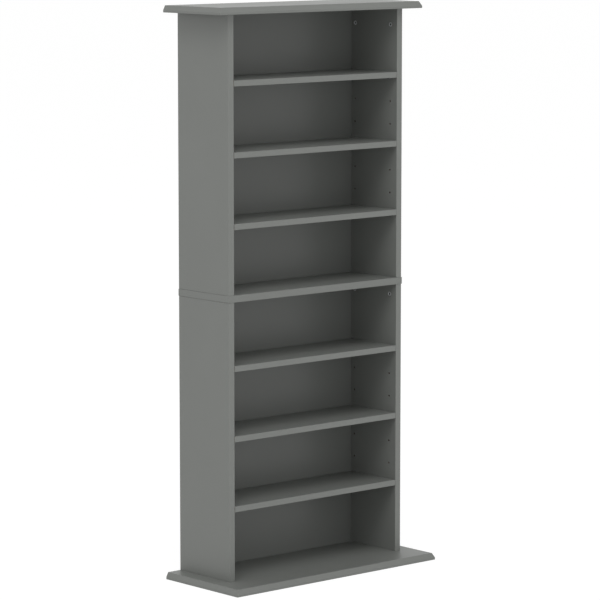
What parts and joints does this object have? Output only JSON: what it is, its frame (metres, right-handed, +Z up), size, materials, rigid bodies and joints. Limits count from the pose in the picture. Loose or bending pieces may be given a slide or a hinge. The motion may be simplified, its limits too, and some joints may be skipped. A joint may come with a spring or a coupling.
{
  "type": "media storage unit",
  "caption": "Tall narrow open shelving unit for media cases, with stacked carcasses, loose shelves and moulded top and base boards.",
  "frame": {"origin": "on the floor, at the centre of the unit's outline in plan", "axes": "+X to the right of someone facing the shelves, +Y to the back, +Z up"},
  "size_m": [0.686, 0.284, 1.474],
  "materials": {
    "board_foil": "satin grey foil on board",
    "shelf_foil": "satin grey foil on board",
    "back_board": "satin grey faced hardboard",
    "shelf_pin": "grey moulded plastic",
    "cam_zinc": "bright cast zinc",
    "plated_steel": "zinc-plated steel"
  },
  "bodies": {
    "carcass": {"base_board": "board_foil", "lower_side_left": "board_foil", "lower_side_right": "board_foil", "mid_board": "board_foil", "upper_side_left": "board_foil", "upper_side_right": "board_foil", "top_board": "board_foil", "lower_back_panel": "back_board", "upper_back_panel": "back_board", "shelf_1_pin_front_left": "shelf_pin", "shelf_1_pin_rear_left": "shelf_pin", "shelf_1_pin_front_right": "shelf_pin", "shelf_1_pin_rear_right": "shelf_pin", "shelf_2_pin_front_left": "shelf_pin", "shelf_2_pin_rear_left": "shelf_pin", "shelf_2_pin_front_right": "shelf_pin", "shelf_2_pin_rear_right": "shelf_pin", "shelf_3_pin_front_left": "shelf_pin", "shelf_3_pin_rear_left": "shelf_pin", "shelf_3_pin_front_right": "shelf_pin", "shelf_3_pin_rear_right": "shelf_pin", "shelf_4_pin_front_left": "shelf_pin", "shelf_4_pin_rear_left": "shelf_pin", "shelf_4_pin_front_right": "shelf_pin", "shelf_4_pin_rear_right": "shelf_pin", "shelf_5_pin_front_left": "shelf_pin", "shelf_5_pin_rear_left": "shelf_pin", "shelf_5_pin_front_right": "shelf_pin", "shelf_5_pin_rear_right": "shelf_pin", "shelf_6_pin_front_left": "shelf_pin", "shelf_6_pin_rear_left": "shelf_pin", "shelf_6_pin_front_right": "shelf_pin", "shelf_6_pin_rear_right": "shelf_pin", "lower_cam_front_left": "cam_zinc", "lower_cam_rear_left": "cam_zinc", "lower_cam_front_right": "cam_zinc", "lower_cam_rear_right": "cam_zinc", "upper_cam_front_left": "cam_zinc", "upper_cam_rear_left": "cam_zinc", "upper_cam_front_right": "cam_zinc", "upper_cam_rear_right": "cam_zinc", "mid_bolt_front_left": "plated_steel", "mid_bolt_rear_left": "plated_steel", "mid_bolt_front_right": "plated_steel", "mid_bolt_rear_right": "plated_steel", "top_bolt_front_left": "plated_steel", "top_bolt_rear_left": "plated_steel", "top_bolt_front_right": "plated_steel", "top_bolt_rear_right": "plated_steel", "base_screw_front_left": "plated_steel", "base_screw_rear_left": "plated_steel", "base_screw_front_right": "plated_steel", "base_screw_rear_right": "plated_steel"},
    "shelf_1": {"shelf_1": "shelf_foil"},
    "shelf_2": {"shelf_2": "shelf_foil"},
    "shelf_3": {"shelf_3": "shelf_foil"},
    "shelf_4": {"shelf_4": "shelf_foil"},
    "shelf_5": {"shelf_5": "shelf_foil"},
    "shelf_6": {"shelf_6": "shelf_foil"}
  },
  "joints": [
    {"name": "shelf_1_slide", "type": "slide", "parent": "carcass", "child": "shelf_1", "axis": [0, -1, 0], "range_m": [0, 0.147]},
    {"name": "shelf_2_slide", "type": "slide", "parent": "carcass", "child": "shelf_2", "axis": [0, -1, 0], "range_m": [0, 0.147]},
    {"name": "shelf_3_slide", "type": "slide", "parent": "carcass", "child": "shelf_3", "axis": [0, -1, 0], "range_m": [0, 0.147]},
    {"name": "shelf_4_slide", "type": "slide", "parent": "carcass", "child": "shelf_4", "axis": [0, -1, 0], "range_m": [0, 0.147]},
    {"name": "shelf_5_slide", "type": "slide", "parent": "carcass", "child": "shelf_5", "axis": [0, -1, 0], "range_m": [0, 0.147]},
    {"name": "shelf_6_slide", "type": "slide", "parent": "carcass", "child": "shelf_6", "axis": [0, -1, 0], "range_m": [0, 0.147]}
  ]
}
